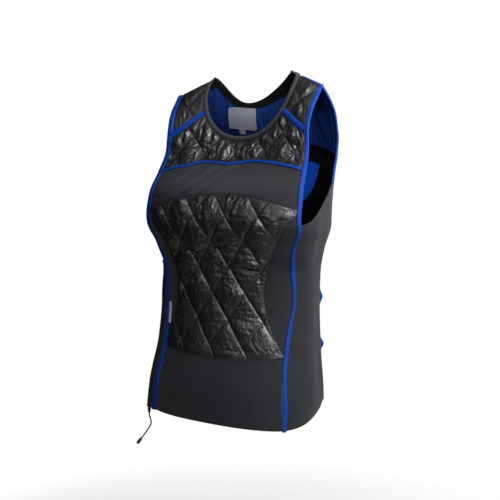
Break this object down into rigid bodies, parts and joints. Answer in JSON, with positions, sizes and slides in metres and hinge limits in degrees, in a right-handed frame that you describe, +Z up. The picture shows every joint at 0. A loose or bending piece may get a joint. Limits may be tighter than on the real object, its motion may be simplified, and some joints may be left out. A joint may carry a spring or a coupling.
{
  "type": "cooling tank top",
  "caption": "Women's cooling tank top of black quilted panels and charcoal stretch panels, joined by blue binding, with a zip down the wearer's right side.",
  "frame": {"origin": "midway between the two neck points of the shoulder line, where the top hangs on its wearer", "axes": "+Z up; the front of the top faces -Y; the wearer's left is +X"},
  "size_m": [0.3594, 0.2184, 0.6834],
  "materials": {
    "quilted_nylon": "smooth black nylon with a soft gloss, quilted in diamonds",
    "stretch_jersey": "matte charcoal stretch knit",
    "blue_binding": "matte royal blue folded tape",
    "blue_lining": "smooth deep blue lining cloth",
    "black_binding": "matte black rib binding",
    "label_cloth": "smooth woven white label, blank",
    "zip_tape": "black woven zip tape with a black coil chain",
    "slider_metal": "black painted die-cast metal",
    "pull_cord": "black cord with a moulded end"
  },
  "bodies": {
    "root": {"yoke_front": "quilted_nylon", "shoulder_panel_left": "quilted_nylon", "shoulder_panel_right": "quilted_nylon", "belly_panel": "quilted_nylon", "back_yoke": "quilted_nylon", "chest_panel": "stretch_jersey", "waist_inset_left": "stretch_jersey", "waist_inset_right": "stretch_jersey", "hem_panel": "stretch_jersey", "side_panel_left": "stretch_jersey", "side_panel_right": "stretch_jersey", "back_panel": "stretch_jersey", "front_binding_left": "blue_binding", "front_binding_right": "blue_binding", "back_binding_left": "blue_binding", "back_binding_right": "blue_binding", "chest_band": "blue_binding", "shoulder_strip_left": "blue_binding", "shoulder_strip_right": "blue_binding", "shoulder_tape_left": "blue_binding", "shoulder_tape_right": "blue_binding", "back_lining": "blue_lining", "armhole_facing_left": "blue_lining", "armhole_facing_right": "blue_lining", "neck_binding": "black_binding", "neck_label": "label_cloth", "size_tab": "label_cloth", "care_label": "label_cloth", "side_zip": "zip_tape", "zip_slider": "slider_metal", "pull_cord": "pull_cord", "pull_end": "pull_cord"}
  },
  "joints": []
}
